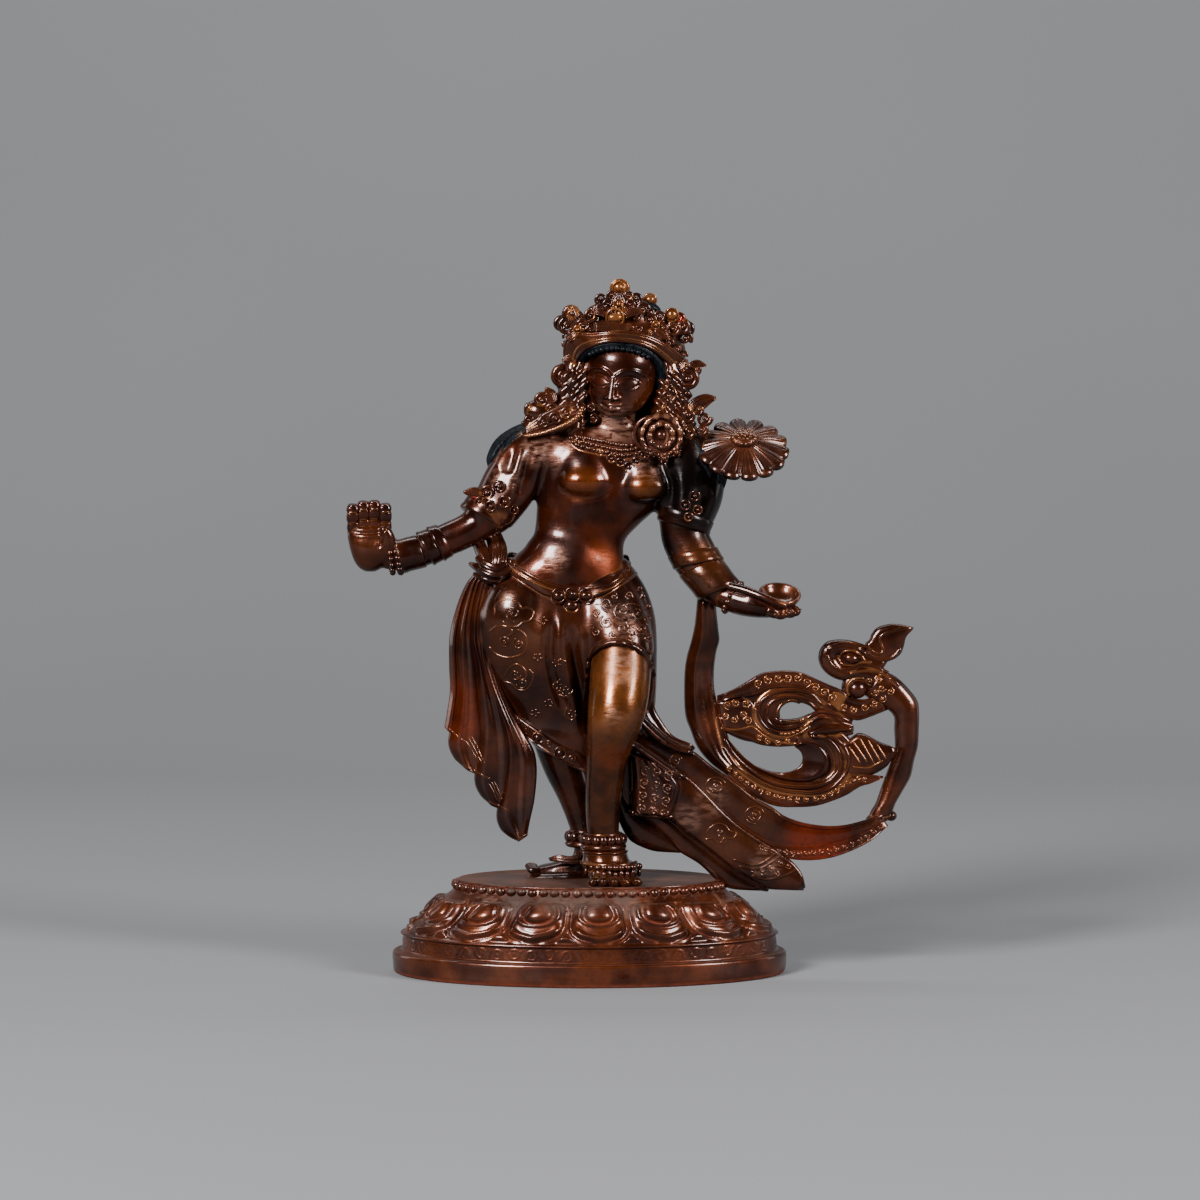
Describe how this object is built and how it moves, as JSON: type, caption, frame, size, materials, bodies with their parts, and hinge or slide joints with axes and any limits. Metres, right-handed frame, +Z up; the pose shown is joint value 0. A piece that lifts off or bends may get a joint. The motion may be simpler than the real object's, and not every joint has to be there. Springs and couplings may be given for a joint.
{
  "type": "dancing tara statue",
  "caption": "Cast copper statue of a dancing figure with raised palm, offering bowl, lotus flower and trailing openwork scarf, standing on an oval lotus base.",
  "frame": {"origin": "centre of the underside of the oval base", "axes": "+Z up, -Y towards the viewer of the front, +X to that viewer's right"},
  "size_m": [0.2132, 0.0888, 0.2598],
  "materials": {
    "base_copper": "cast copper, waxed dark red-brown patina, red wash in the recesses, worn brassy on the raised bosses",
    "figure_copper": "cast copper, waxed glossy brown patina, red wash in the recesses, rubbed olive gold on the shin and knee, blue-black paint on the hair",
    "scarf_copper": "cast copper, waxed glossy brown patina with bright rubbed ridges"
  },
  "bodies": {
    "root": {"lotus_base": "base_copper", "figure": "figure_copper", "scarf_scroll": "scarf_copper"}
  },
  "joints": []
}
